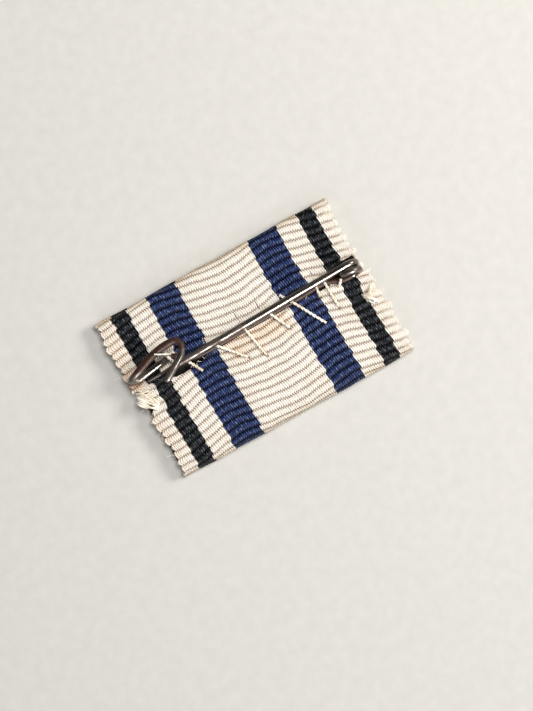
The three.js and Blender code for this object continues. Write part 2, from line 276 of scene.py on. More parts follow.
def fold_path(t, lift):
    """Place (y, z) of length t, raised by lift off the outer face."""
    angle = np.clip((t - Y_FOLD) / FOLD, 0, math.pi)
    angle_low = np.clip((t - FRONT_END) / FOLD, 0, math.pi)
    radius = FOLD + lift
    y = np.where(t < FRONT_START, Y_FOLD + radius * np.sin(angle), -Y_FOLD - radius * np.sin(angle_low))
    z = np.where(t < FRONT_START, FOLD + radius * np.cos(angle), FOLD - radius * np.cos(angle_low))
    y = np.where(t < Y_FOLD, t, y)
    y = np.where((t > FRONT_START) & (t < FRONT_END), Y_FOLD - (t - FRONT_START), y)
    y = np.where(t > FLAP_START, -Y_FOLD + (t - FLAP_START), y)
    return y, z


def length_at(y, lower):
    return FLAP_START + (y + Y_FOLD) if lower else y


print(f"length along the fold: {length_at(1.6, False):.1f} to {length_at(0.8, True):.1f} mm")

# %% [markdown]
# The ribs aren't straight across the bar. Folding and sewing pulled the cloth unevenly, so each rib
# dips in the middle, rises over the blue stripes and falls away to the selvedges. The table gives
# that line for both flaps, and the face in between passes smoothly from one to the other. The cuts run
# beside the pin's base leg and close up at the left end, where there is no wire between them.

# %% Cut ends and the line of a rib
RIB_LINE = [  # across the width, height of a rib on the upper flap, and on the lower one
    (-12.5, 0.5, -0.15), (-10.2, 0.85, -0.05), (-7.2, 1.25, 0.6), (-5.2, 1.05, 0.7), (-2.8, 0.45, 0.3),
    (0, 0, 0), (1.6, 0, 0), (5, 0.5, 0.5), (6.8, 0.4, 0.6), (9.6, -0.3, -0.05), (12.5, -0.75, -0.45),
]
rib_line_fine = smooth_route(RIB_LINE, 12)


def smooth(edge_0, edge_1, value):
    part = np.clip((value - edge_0) / (edge_1 - edge_0), 0, 1)
    return part * part * (3 - 2 * part)


def rib_line(t, u):
    upper = np.interp(u, rib_line_fine[:, 0], rib_line_fine[:, 1])
    lower = np.interp(u, rib_line_fine[:, 0], rib_line_fine[:, 2])
    ripple = 0.03 * np.sin(1.7 * u + 0.8 * t) + 0.02 * np.sin(3.1 * u - 1.3 * t)
    return upper + (lower - upper) * smooth(6, 30, t) + ripple


def seam_y(x):
    return 1.2 + 0.016 * x


def upper_cut(x):
    y = seam_y(x) + 0.36 + 0.64 * smooth(9.2, 9.9, x) - 0.42 * smooth(-8.4, -9.8, x)
    return y + 0.03 * np.sin(4.1 * x) + 0.02 * np.sin(9.7 * x + 1)


def lower_cut(x):
    y = seam_y(x) - 0.26 - 0.5 * smooth(-4.2, -6.8, x) + 0.71 * smooth(-8.6, -9.8, x)
    y = y - 0.2 * smooth(4, 8, x) - 0.45 * smooth(9.2, 10.2, x)
    return y + 0.03 * np.sin(3.7 * x + 2) + 0.02 * np.sin(8.3 * x)


print("seam gap in the middle:", round(float(upper_cut(0.0) - lower_cut(0.0)), 2), "mm")

# %% [markdown]
# The weave pattern answers three questions about a place on the ribbon: which rib it lies on, how far
# through that rib, and whether a yarn is high or low there. The ends of the warp floats interlock
# like teeth along each groove, because neighbouring yarns pass under on alternate sides.


# %% The weave
TOOTH = 0.15  # how far a float reaches over the groove, as a share of a rib
GROOVE = 0.26


def yarn_wave(u, rib):
    return np.cos(2 * math.pi * u / YARN + math.pi * rib)


def weave_at(u, t):
    """Rib number, how far through the rib from 0 to 1, and how high the yarn is from -1 to 1."""
    phase = (t - rib_line(t, u)) / RIB
    rib = np.floor(phase)
    for _ in range(3):
        wave = yarn_wave(u, rib)
        part = (phase - rib + TOOTH * wave) / (1 + 2 * TOOTH * wave)
        rib = rib + (part > 1) - (part < 0)
    return rib, np.clip(part, 0, 1), yarn_wave(u, rib)


def rib_height(part):
    return np.sqrt(4 * part * (1 - part))


def length_of(u, rib, part):
    """The length along the ribbon at which a yarn reaches a given part of a rib."""
    wave = yarn_wave(u, rib)
    flat = RIB * (rib - TOOTH * wave + part * (1 + 2 * TOOTH * wave))
    t = flat
    for _ in range(3):
        t = flat + rib_line(t, u)
    return t


rng = np.random.default_rng(7)
RIB_COUNT = 60
rib_swell = rng.normal(0, 0.018, RIB_COUNT)
rib_reach = rng.normal(0, 0.12, (2, RIB_COUNT))  # how far each rib's end stands out at each selvedge
rib_shade = rng.normal(0, 1, RIB_COUNT)
print("ribs along the length:", int(length_at(0.8, True) / RIB) - int(1.6 / RIB))

# %% [markdown]
# The grid of points has four columns for each warp yarn and five rows for each rib where it shows,
# fewer on the face that lies down. The last rows are held at the cut lines. The sheet gets a second,
# plain inner face and a rounded selvedge on each side, so that it is one closed skin.


# %% Points of the ribbon
def rib_rows():
    rows = []
    for rib in range(int(UPPER_END / RIB) - 1, int(LOWER_END / RIB) + 2):
        start = RIB * rib
        lies_down = FRONT_START + 0.6 < start < FRONT_END - 0.9
        for part in (0, 1 / 3, 2 / 3) if lies_down else (0, 0.14, 0.38, 0.62, 0.86):
            rows.append((rib, part))
    return np.array(rows, float)


def skew(t):
    """The fold is a little out of square, so the two flaps don't line up."""
    return np.interp(t, [7, 11, 25, 29, 37], [-0.13, -0.15, 0.42, 0.46, 0.36])


def wire_bulge(x, y, route):
    """The upper flap is pushed up where the pin's base leg climbs out under it."""
    away = np.full(x.shape, 9.0)
    for px, py, _ in route:
        away = np.minimum(away, np.hypot(x - px, y - py))
    return 0.34 * np.exp(-((away / 0.42) ** 2))


columns = np.linspace(-HALF_WIDTH, HALF_WIDTH, 4 * YARNS + 1)
rows = rib_rows()
U, ROW = np.meshgrid(columns, np.arange(len(rows)))
T = length_of(U, rows[ROW][:, :, 0], rows[ROW][:, :, 1])
top_limit = upper_cut(U)
bottom_limit = length_at(lower_cut(U), True)
T = np.clip(T, top_limit, bottom_limit)
print("grid", T.shape, "points")

# %% Height of every point
rib, part, wave = weave_at(U, T)
swell = rib_height(part)
index = np.clip(rib.astype(int), 0, RIB_COUNT - 1)
lift = -GROOVE * (1 - swell) + 0.03 * (wave - 1) * swell + rib_swell[index] * swell
showing = smooth(FRONT_START, FRONT_START - 2, T) + smooth(FRONT_END, FRONT_END + 2, T)
puff = 0.035 * np.sin(0.55 * U + 0.4 * T) + 0.03 * np.sin(1.3 * U - 0.5 * T + 2)
lift = lift + showing * puff - 0.03

near_left = smooth(-11.2, -12.5, U)
near_right = smooth(11.2, 12.5, U)
scallop = 0.4 * (1 - swell) - 0.11
reach = near_left * (scallop - rib_reach[0][index] * swell) - near_right * (
    scallop - rib_reach[1][index] * swell
)
wander = 0.03 * np.sin(0.9 * T) * showing + 0.035 * np.sin(2 * math.pi * part)
X = U + reach - 0.16 * near_right + skew(T) + wander

climb = smooth_route([(-6.3, 1.36, 0), (-7.1, 1.925, 0), (-7.55, 2.16, 0)], 8)
Y, _ = fold_path(T, 0 * T)
lift = lift + np.where(T < Y_FOLD, wire_bulge(X, Y, climb), 0)
print("lift from", lift.min().round(3), "to", lift.max().round(3), "mm")

# %% [markdown]
# The sewing thread draws the ribbon in where it goes through: a dimple at every needle hole, and a
# hollow at each selvedge where the thread is fastened off round the edge.

# %% Dimples and drawn-in edges
SELVEDGE_TIES = [(-11.9, -1.1, -1, 0.55, 0.7), (12.4, -1.5, 1, 0.34, 0.5), (-11.7, 0.5, -1, 0.3, 0.45)]
SLITS = [
    (-0.53, 2.7, 0.05, 0.42),
    (1.77, 2.6, 0.055, 0.55),
    (10.75, 2.35, 0.16, 0.16),
    (7.75, 2.75, 0.05, 0.25),
]


def stitch_ends(x, run, down):
    return (x, seam_y(x) + 0.68), (x + run, seam_y(x + run) - down)


STITCHES = {
    "stitch_1": (-4.1, 2.67, 2.44),
    "stitch_2": (-0.5, 0.75, 3.15),
    "stitch_3": (2.15, 1.28, 1.99),
    "stitch_4": (7.6, -0.18, 0.85),
    "stitch_5": (8.4, 0.12, 2.56),
}
punctures = [end for stitch in STITCHES.values() for end in stitch_ends(*stitch)]
on_back = (T < Y_FOLD) | (T > FLAP_START)
for hx, hy in punctures:
    away = np.hypot(X - hx, Y - hy)
    dent = 0.22 * np.exp(-((away / 0.17) ** 2)) + 0.05 * np.exp(-((away / 0.6) ** 2))
    lift = lift - np.where(on_back, dent, 0)
for hx, hy, wide, long in SLITS:
    away = np.hypot((X - hx) / wide, (Y - hy) / long)
    lift = lift - np.where(on_back, 0.2 * np.exp(-(away**2)), 0)
for tx, ty, side, pull, spread in SELVEDGE_TIES:
    hold = np.exp(-(((Y - ty) / spread) ** 2)) * smooth(2.4, 0, np.abs(X - tx)) * on_back
    X = X - side * pull * hold
    lift = lift - 0.12 * hold
print("punctures", len(punctures), "old slits", len(SLITS))

# %% [markdown]
# Now the skin is closed. Going round one cross-section, the outer face runs from left to right, the
# right selvedge rounds over, the plain inner face runs back, and the left selvedge closes the loop.

# %% Close the skin
THICK = 0.45
inner = np.linspace(HALF_WIDTH - 0.25, -HALF_WIDTH + 0.25, 36)


def at_column(values, u):
    return np.stack([np.interp(u, columns, row) for row in values])


def edge_loop(side):
    """Five points that round one selvedge, from the outer face to the inner one."""
    last = -1 if side > 0 else 0
    out = []
    for angle in np.linspace(0, math.pi, 7)[1:-1]:
        x = X[:, last] + side * 0.11 * math.sin(angle)
        drop = lift[:, last] * (1 + math.cos(angle)) / 2 - THICK * (1 - math.cos(angle)) / 2
        out.append((x, T[:, last], drop))
    return out if side > 0 else out[::-1]


loop_x, loop_t, loop_lift = [X], [T], [lift]
for ex, et, el in edge_loop(1):
    loop_x.append(ex[:, None])
    loop_t.append(et[:, None])
    loop_lift.append(el[:, None])
loop_x.append(at_column(X, inner))
loop_t.append(at_column(T, inner))
loop_lift.append(np.full((len(rows), len(inner)), -THICK))
for ex, et, el in edge_loop(-1):
    loop_x.append(ex[:, None])
    loop_t.append(et[:, None])
    loop_lift.append(el[:, None])
loop_x, loop_t, loop_lift = (np.hstack(part) for part in (loop_x, loop_t, loop_lift))
loop_y, loop_z = fold_path(loop_t, loop_lift)
straight = (loop_t < Y_FOLD) | (loop_t > FLAP_START)
loop_z = np.where(straight, BACK + loop_lift, loop_z)
lying = (loop_t >= FRONT_START) & (loop_t <= FRONT_END)
loop_z = np.where(lying, -loop_lift, loop_z)
print("one loop has", loop_x.shape[1], "points")

# %% Mesh of the ribbon
count_r, count_c = loop_x.shape
points = np.stack([loop_x, loop_y, loop_z], -1).reshape(-1, 3) * MM
grid = np.arange(count_r * count_c).reshape(count_r, count_c)
right = np.roll(grid, -1, axis=1)
quads = np.stack([grid[:-1], right[:-1], right[1:], grid[1:]], -1).reshape(-1, 4)


def cut_face(loop):
    """Closes a cut end with a row of triangles between the outer face and the inner one."""
    outer, under = loop[: len(columns)], loop[len(columns) :][::-1]
    faces, i, j = [], 0, 0
    while i < len(outer) - 1 or j < len(under) - 1:
        next_under = under[min(j + 1, len(under) - 1)]
        behind = i < len(outer) - 1 and points[outer[i + 1], 0] <= points[next_under, 0]
        if j == len(under) - 1 or behind:
            faces.append((outer[i], outer[i + 1], under[j]))
            i += 1
        else:
            faces.append((outer[i], under[j + 1], under[j]))
            j += 1
    return [tuple(int(corner) for corner in face) for face in faces]


ribbon_mesh = bpy.data.meshes.new("ribbon")
ribbon_mesh.from_pydata(points.tolist(), [], quads.tolist() + cut_face(grid[0]) + cut_face(grid[-1]))
ribbon = bpy.data.objects.new("ribbon_cloth", ribbon_mesh)
bpy.context.collection.objects.link(ribbon)


def keep_number(mesh, name, values):
    layer = mesh.attributes.new(name, "FLOAT", "POINT")
    layer.data.foreach_set("value", np.asarray(values, np.float32).ravel())


def full_loop(values, rim):
    """Carries a value of the outer face round the rest of the loop."""
    inside = at_column(values, inner) if rim is None else np.full((len(rows), len(inner)), rim)
    parts = [values, np.repeat(values[:, -1:], 5, 1), inside]
    return np.hstack(parts + [np.repeat(values[:, :1], 5, 1)])


print("ribbon points before merging:", len(points))

# %% [markdown]
# The sheet also remembers some numbers at every point, which its material reads: the place across the
# stripes, the rib's height, the yarn's height, how soiled or painted with shade it is, and how yellowed
# or rust-marked it is there.
# The edge of a stripe steps a little from rib to rib, because the coloured yarns slide under tension.

# %% What the ribbon's points remember
stripe_step = 0.05 * np.where(rib % 2 > 0.5, 1, -1) + 0.035 * np.sin(rib * 2.4 + np.sign(U) * 1.1)
across = np.abs(U + stripe_step) / HALF_WIDTH
keep_number(ribbon_mesh, "across", full_loop(across, None))
keep_number(ribbon_mesh, "rib_height", full_loop(swell, 0.4))
keep_number(ribbon_mesh, "yarn_height", full_loop(0.5 + 0.5 * wave, 0.5))
keep_number(ribbon_mesh, "shade", full_loop(rib_shade[index], 0))

tan_stain = smooth(-3.6, -2.2, X) * smooth(4.6, 3.2, X) * smooth(-2.0, 0.2, Y) * smooth(1.9, 0.9, Y)
tan_stain = tan_stain * (T > FLAP_START)
# A tan darkening round the hook.
under_hook = np.exp(-(((X + 9.6) / 2.6) ** 2) - ((Y - 1.6) / 1.1) ** 2) * on_back
# The selvedge ends are tinted: on the right a yellowed edge; on the left, 2.4 times as strong, painted shade
# where the light falls off.
ends = np.exp(-(((np.abs(X) - 12.3) / 1.1) ** 2)) * np.exp(-((Y / 9) ** 4))
ends = ends * on_back * np.where(X < 0, 2.4, 0.8)
soil_and_shade = 0.75 * tan_stain + 0.45 * under_hook + 0.3 * ends
# A tan halo round each stitch is painted shadow of the thread on the cloth, with some grime.
for up_end, low_end in (stitch_ends(*stitch) for stitch in STITCHES.values()):
    run_x, run_y = low_end[0] - up_end[0], low_end[1] - up_end[1]
    part_way = np.clip(((X - up_end[0]) * run_x + (Y - up_end[1]) * run_y) / (run_x**2 + run_y**2), 0, 1)
    away = np.hypot(X - up_end[0] - part_way * run_x, Y - up_end[1] - part_way * run_y)
    soil_and_shade = soil_and_shade + 0.9 * np.exp(-((away / 0.24) ** 2)) * on_back
keep_number(ribbon_mesh, "soil_and_shade", full_loop(np.clip(soil_and_shade, 0, 1), 0.3))
upper_fold = np.exp(-(((T - (Y_FOLD + 1.25)) / 0.8) ** 2))
lower_fold = np.exp(-(((T - (FLAP_START - 1.2)) / 0.8) ** 2))
fold_tone = upper_fold + 0.7 * lower_fold
keep_number(ribbon_mesh, "fold_yellow", full_loop(fold_tone, 0.2))
rust = np.exp(-((np.hypot((X + 11.9) / 1.2, (Y - 1.9) / 0.8)) ** 2))
rust = rust + 0.8 * np.exp(-((np.hypot((X - 10.75) / 0.3, (Y - 2.35) / 0.2)) ** 2))
for hx, hy in [(-8.0, 1.6), (-6.4, 1.4), (10.6, 0.6)]:
    rust = rust + 0.5 * np.exp(-((np.hypot((X - hx) / 0.5, (Y - hy) / 0.3)) ** 2))
keep_number(ribbon_mesh, "rust", full_loop(np.clip(rust, 0, 1) * on_back, 0))
# Dark brown at the needle holes and old slits is painted shade inside them.
hole = 0 * X
for up_end, low_end in (stitch_ends(*stitch) for stitch in STITCHES.values()):
    ahead = np.array(low_end) - up_end
    hx, hy = low_end + 0.2 * ahead / np.linalg.norm(ahead)  # the pull has opened the hole past the thread
    hole = hole + np.exp(-((np.hypot(X - hx, Y - hy) / 0.15) ** 2))
for hx, hy, wide, long in SLITS:
    hole = hole + np.exp(-(((X - hx) / wide) ** 2) - ((Y - hy) / long) ** 2)
keep_number(ribbon_mesh, "hole", full_loop(np.clip(hole, 0, 1) * on_back, 0))
weave_place = ribbon_mesh.attributes.new("weave_place", "FLOAT_VECTOR", "POINT")
flat_place = np.stack([full_loop(U, None), loop_t, 0 * loop_t], -1)
weave_place.data.foreach_set("vector", (flat_place * MM).astype(np.float32).ravel())
print("layers:", [a.name for a in ribbon_mesh.attributes if not a.name.startswith(".")][:10])

# %% Merge the collapsed rows and point the faces outwards
bpy.ops.object.select_all(action="DESELECT")
ribbon.select_set(True)
bpy.context.view_layer.objects.active = ribbon
bpy.ops.object.mode_set(mode="EDIT")
bpy.ops.mesh.select_all(action="SELECT")
bpy.ops.mesh.remove_doubles(threshold=0.004 * MM)
bpy.ops.mesh.normals_make_consistent(inside=False)
bpy.ops.object.mode_set(mode="OBJECT")
bpy.ops.object.shade_smooth()
triangles = sum(len(face.vertices) - 2 for face in ribbon.data.polygons)
edge_uses = {}
for face in ribbon.data.polygons:
    for edge in face.edge_keys:
        edge_uses[edge] = edge_uses.get(edge, 0) + 1
print("edges not shared by two faces:", sum(uses != 2 for uses in edge_uses.values()))
print("ribbon:", triangles, "triangles, box", [round(v / MM, 2) for v in ribbon.dimensions])

# %% [markdown]
# ## The silk
#
# The cloth is rayon silk, woven in solid-coloured warp yarns: white, blue and black. A warp-faced rib
# has a soft sheen along the top of each rib and goes dark in the groove, where light doesn't reach and
# dust settles; that dark is painted shade in the colour. The stripe colours come from a ramp with hard
# steps, read across the width. A second ramp holds the painted shade of the same stripes in the grooves.

# %% Stripe colours
silk, silk_tree, silk_shader = start_material(
    "rayon silk grosgrain",
    Roughness=0.62,
    Specular_IOR_Level=0.12,
    Sheen_Weight=0.03,
    Sheen_Roughness=0.4,
)
CREST = {"white": "#e8e2d8", "blue": "#2c3c6f", "black": "#1c1e23"}
# GROOVE_SHADE is painted shade: each stripe as dark as it looks at the bottom of a groove.
GROOVE_SHADE = {"white": "#8c7461", "blue": "#04061a", "black": "#010102"}
GLINT = {"white": "#e8e2d8", "blue": "#8296bd", "black": "#767c84"}  # yarns that catch the light
DYED = {"white": "#000000", "blue": "#ffffff", "black": "#ffffff"}  # where the yarns are dyed
STRIPES = [(0, "white"), (0.316, "blue"), (0.564, "white"), (0.74, "black"), (0.876, "white")]


across_value = add_node(silk_tree, "ShaderNodeAttribute", attribute_name="across").outputs["Fac"]
ramp_colour = {}
for use, tones in {"crest": CREST, "groove": GROOVE_SHADE, "glint": GLINT, "dyed": DYED}.items():
    ramp = add_node(silk_tree, "ShaderNodeValToRGB", {"Fac": across_value})
    ramp.color_ramp.interpolation = "CONSTANT"
    stops = ramp.color_ramp.elements
    while len(stops) < len(STRIPES):
        stops.new(0.5)
    for stop, (place, name) in zip(stops, STRIPES):
        stop.position = place
        stop.color = colour(tones[name])
    ramp_colour[use] = ramp.outputs["Color"]
print("stripes:", [name for _, name in STRIPES])

# %% [markdown]
# Along the yarns the colour streaks slightly, since no two take the dye alike. Noise stretched along
# the length gives that: a yarn is 0.23 mm across, so the noise has about one feature for each yarn
# and one for every rib or two along it. Fine fibres, about 0.03 mm, are drawn at 0.06 so they show.

# %% Yarn noise
silk_number = {}
for name in ("rib_height", "yarn_height", "soil_and_shade", "fold_yellow", "rust", "hole"):
    silk_number[name] = add_node(silk_tree, "ShaderNodeAttribute", attribute_name=name).outputs["Fac"]
weave_vector = add_node(silk_tree, "ShaderNodeAttribute", attribute_name="weave_place").outputs["Vector"]
YARN_NOISES = {  # size of one feature across and along, in mm, and how much finer detail it has
    "streak": (YARN, 1.4 * RIB, 2),
    "float": (YARN / 1.1, 0.5 * RIB, 1),
    "fibre": (0.06, 0.5, 3),
    "blotch": (2.6, 2.6, 4),
}
silk_noise = {}
for name, (wide, long, detail) in YARN_NOISES.items():
    scale = (1 / (wide * MM), 1 / (long * MM), 1)
    stretched = add_node(silk_tree, "ShaderNodeMapping", {"Vector": weave_vector, "Scale": scale})
    noise = add_node(
        silk_tree,
        "ShaderNodeTexNoise",
        {"Vector": stretched.outputs["Vector"], "Scale": 1.0, "Detail": detail},
    )
    silk_noise[name] = noise.outputs["Fac"]
print("noises:", list(silk_noise))

# %% [markdown]
# The groove shade is painted into the colour. In a white stripe it darkens only the bottom of the groove.
# In the dyed stripes the painted shade reaches further up each rib and in between the yarns, and single
# floats get a painted highlight, which makes them glitter. Both ways are mixed, and the ramp of dyed
# stripes chooses between them.

# %% White and dyed yarns
silk_range = {}
for name, source, ends in [
    ("white_depth", silk_number["rib_height"], (0.1, 0.75, 0.0, 1.0)),
    ("dyed_depth", silk_number["rib_height"], (0.5, 1.0, 0.0, 1.0)),
    ("white_yarn_gap_shade", silk_number["yarn_height"], (0, 0.6, 0.3, 0.0)),
    ("dyed_yarn_gap_shade", silk_number["yarn_height"], (0, 1, 0.8, 0.0)),
    ("float_glint", silk_noise["float"], (0.47, 0.68, 0.0, 0.66)),
    ("deeper_in_groove", silk_number["rib_height"], (0.2, 1.0, 1.0, 0.35)),
    ("roughness", silk_number["rib_height"], (0.3, 1.0, 0.85, 0.52)),
]:
    inputs = {0: source, **dict(zip((1, 2, 3, 4), ends))}
    silk_range[name] = add_node(silk_tree, "ShaderNodeMapRange", inputs).outputs[0]
# The glint is a painted highlight on the crests of single floats.
glint = silk_range["float_glint"]
for factor in (silk_range["dyed_depth"], silk_number["yarn_height"]):
    glint = add_node(silk_tree, "ShaderNodeMath", {0: glint, 1: factor}, operation="MULTIPLY").outputs[0]
# Painted shade in the gaps between the yarns of a white stripe.
between = colour("#7d6a58")
tones = {}
for name, layers in {
    "white": [(silk_range["white_depth"], ramp_colour["crest"]), (silk_range["white_yarn_gap_shade"], between)],
    "dyed": [
        (silk_range["dyed_depth"], ramp_colour["crest"]),
        (silk_range["dyed_yarn_gap_shade"], ramp_colour["groove"]),
        (glint, ramp_colour["glint"]),
    ],
}.items():
    tone = ramp_colour["groove"]
    for share, layer in layers:
        mixed = add_node(silk_tree, "ShaderNodeMix", {0: share, 6: tone, 7: layer}, data_type="RGBA")
        tone = mixed.outputs[2]
    tones[name] = tone
choice = {0: ramp_colour["dyed"], 6: tones["white"], 7: tones["dyed"]}
tone = add_node(silk_tree, "ShaderNodeMix", choice, data_type="RGBA").outputs[2]
print("silk has", len(silk_tree.nodes), "nodes")

# %% [markdown]
# Age and painted shade are laid over the clean colour in layers. Each multiplies it by a tint: uneven dye,
# soil and painted shade (at the left end and round the stitches) that sit deepest in the grooves, general
# yellowing in blotches, the yellowed folds, and rust from the wire. The needle holes go on last, as plain
# dark brown that paints the shade inside them.

# %% Ageing
soil_and_shade = {0: silk_number["soil_and_shade"], 1: silk_range["deeper_in_groove"]}
soil_and_shade = add_node(silk_tree, "ShaderNodeMath", soil_and_shade, operation="MULTIPLY").outputs[0]
for source, low, high, most, tint in [
    (silk_noise["streak"], 0.35, 0.7, 0.2, "#a99f98"),
    (soil_and_shade, 0, 1, 1, "#e3c39a"),
    (silk_noise["blotch"], 0.45, 0.75, 0.35, "#f0e6d4"),
    (silk_number["fold_yellow"], 0, 1, 0.8, "#cdb794"),
    (silk_number["rust"], 0.1, 1, 0.75, "#a8714a"),
    (silk_number["hole"], 0.15, 0.8, 0.85, "#4a3324"),
]:
    share = add_node(silk_tree, "ShaderNodeMapRange", {0: source, 1: low, 2: high, 4: most}).outputs[0]
    way = "MIX" if source == silk_number["hole"] else "MULTIPLY"
    layer = {0: share, 6: tone, 7: colour(tint)}
    tone = add_node(silk_tree, "ShaderNodeMix", layer, data_type="RGBA", blend_type=way).outputs[2]
silk_tree.links.new(tone, silk_shader.inputs["Base Color"])
silk_tree.links.new(silk_range["roughness"], silk_shader.inputs["Roughness"])
fibre_bump = add_node(
    silk_tree,
    "ShaderNodeBump",
    {"Height": silk_noise["fibre"], "Strength": 0.25, "Distance": 0.02 * MM},
)
silk_tree.links.new(fibre_bump.outputs["Normal"], silk_shader.inputs["Normal"])
ribbon.data.materials.append(silk)
print("silk has", len(silk_tree.nodes), "nodes")

# %% [markdown]
# The ribbon is one length of cloth. Its cut length is the fold path from one cut end to the other.

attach(ribbon, "bar")
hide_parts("ribbon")

# %% [markdown]
# ## The plate
#
# A thin sheared steel plate keeps the bar flat. Only a sliver of it can ever be glimpsed, at the
# selvedges and in the seam, so the solid keeps its shape and gets the finish: cold-rolled steel
# blackened against rust, dull, faintly streaked along its length, with brown freckles where damp has
# reached it through the cloth. Its tone is also kept near black as painted shade of the seam gap.

# %% Plate finish
plate_steel, plate_tree, plate_shader = start_material("blackened sheet steel and seam shade", Metallic=1.0)
plate_place = add_node(plate_tree, "ShaderNodeTexCoord")
plate_place = plate_place.outputs["Object"]
roll_marks = add_node(
    plate_tree,
    "ShaderNodeMapping",
    {"Vector": plate_place, "Scale": (1 / (4 * MM), 1 / (0.15 * MM), 1)},
)
roll_marks = {"Vector": roll_marks.outputs["Vector"], "Scale": 1.0}
roll = add_node(plate_tree, "ShaderNodeTexNoise", roll_marks).outputs["Fac"]
freckle = {"Vector": plate_place, "Scale": 1 / (0.7 * MM), "Detail": 5}
freckle = add_node(plate_tree, "ShaderNodeTexNoise", freckle).outputs["Fac"]
# Near black: blackened steel, and painted shade of the seam gap.
steel_and_shade_tone = colour("#2b2927")
for source, low, high, tint in [(roll, 0.3, 0.7, "#3d3a37"), (freckle, 0.58, 0.66, "#3b2417")]:
    share = add_node(plate_tree, "ShaderNodeMapRange", {0: source, 1: low, 2: high}).outputs[0]
    layer = {0: share, 6: steel_and_shade_tone, 7: colour(tint)}
    steel_and_shade_tone = add_node(plate_tree, "ShaderNodeMix", layer, data_type="RGBA").outputs[2]
plate_tree.links.new(steel_and_shade_tone, plate_shader.inputs["Base Color"])
plate_rough = {0: freckle, 1: 0.5, 2: 0.66, 3: 0.55, 4: 0.85}
plate_rough = add_node(plate_tree, "ShaderNodeMapRange", plate_rough).outputs[0]
plate_tree.links.new(plate_rough, plate_shader.inputs["Roughness"])
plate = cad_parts["core_plate"]
plate.data.materials.clear()
plate.data.materials.append(plate_steel)
print("plate finish on", plate.name)

# %% [markdown]
# ## The pin wire
#
# The pin is one length of hard-drawn steel wire, 0.68 mm thick. It lies in the seam, climbs out
# through the ribbon, turns back over itself as a catch hook, and at the other end winds one and a
# half turns of spring before it runs back as the needle. It has lost its plating: the metal is grey
# and shiny where it rubs, brown where it has rusted, and drawn marks run along it. In the seam and on
# the needle's left half the same brown and dullness also stand in for shade.

# %% Wire finish
wire_steel, wire_tree, wire_shader = start_material("drawn spring steel", Metallic=1.0)
wire_place = add_node(wire_tree, "ShaderNodeTexCoord").outputs["Object"]
along = add_node(wire_tree, "ShaderNodeAttribute", attribute_name="wire_place").outputs["Vector"]
rust_and_shade = add_node(wire_tree, "ShaderNodeAttribute", attribute_name="rust_and_shade").outputs["Fac"]
along = {"Vector": along, "Scale": (1 / (2.5 * MM), 1 / (0.07 * MM), 1)}
along = add_node(wire_tree, "ShaderNodeMapping", along).outputs["Vector"]
wire_noise = {}
for name, inputs in {
    "draw": {"Vector": along, "Scale": 1.0, "Detail": 3},
    "patch": {"Vector": wire_place, "Scale": 1 / (1.5 * MM), "Detail": 6, "Roughness": 0.62},
    "pits": {"Vector": wire_place, "Scale": 1 / (0.16 * MM), "Detail": 3},
}.items():
    wire_noise[name] = add_node(wire_tree, "ShaderNodeTexNoise", inputs).outputs["Fac"]
# The rust mask also carries painted shade: the seam and the needle's left half are raised to dark brown.
rust_and_shade_level = {0: wire_noise["patch"], 1: rust_and_shade}
rust_and_shade_level = add_node(wire_tree, "ShaderNodeMath", rust_and_shade_level, operation="ADD").outputs[0]
wire_range = {}
for name, source, ends in [
    ("rust", rust_and_shade_level, (0.55, 0.82, 0, 1)),
    ("draw", wire_noise["draw"], (0.3, 0.7, 0, 1)),
    ("pits", wire_noise["pits"], (0.35, 0.65, 0, 1)),
]:
    inputs = {0: source, **dict(zip((1, 2, 3, 4), ends))}
    wire_range[name] = add_node(wire_tree, "ShaderNodeMapRange", inputs).outputs[0]
for name, ends in {"Roughness": (0.28, 0.55), "Metallic": (1.0, 0.35)}.items():
    inputs = {0: wire_range["rust"], 3: ends[0], 4: ends[1]}
    level = add_node(wire_tree, "ShaderNodeMapRange", inputs).outputs[0]
    wire_tree.links.new(level, wire_shader.inputs[name])
metal = []
for name, dark, light in [("draw", "#57514c", "#a0988f"), ("pits", "#1a0f0b", "#4b2b1b")]:
    layer = {0: wire_range[name], 6: colour(dark), 7: colour(light)}
    metal.append(add_node(wire_tree, "ShaderNodeMix", layer, data_type="RGBA").outputs[2])
wire_tone, wire_height = (
    add_node(wire_tree, "ShaderNodeMix", {0: wire_range["rust"], 6: bare, 7: rusty}, data_type="RGBA")
    for bare, rusty in (metal, (wire_noise["draw"], wire_noise["pits"]))
)
wire_tree.links.new(wire_tone.outputs[2], wire_shader.inputs["Base Color"])
wire_bump = add_node(
    wire_tree,
    "ShaderNodeBump",
    {"Height": wire_height.outputs[2], "Strength": 0.14, "Distance": 0.02 * MM},
)
wire_tree.links.new(wire_bump.outputs["Normal"], wire_shader.inputs["Normal"])
print("wire has", len(wire_tree.nodes), "nodes")

# %% [markdown]
# A wire is a route with a round section. Blender's curve object does just that: its bevel depth is
# the wire's radius, each point can have its own share of it, and the ends can be closed. Converting
# it gives a clean tube of rings, one ring for each point of the route. The function also remembers
# how far along and how far round each point lies, for the drawn marks.

# %% Wires from routes
WIRE = 0.34  # radius


def curve_along(name, route):
    curve = bpy.data.curves.new(name, "CURVE")
    curve.dimensions = "3D"
    spline = curve.splines.new("POLY")
    spline.points.add(len(route) - 1)
    for point, place in zip(spline.points, route):
        point.co = (*(np.array(place) * MM), 1)
    piece = bpy.data.objects.new(name, curve)
    bpy.context.collection.objects.link(piece)
    return piece


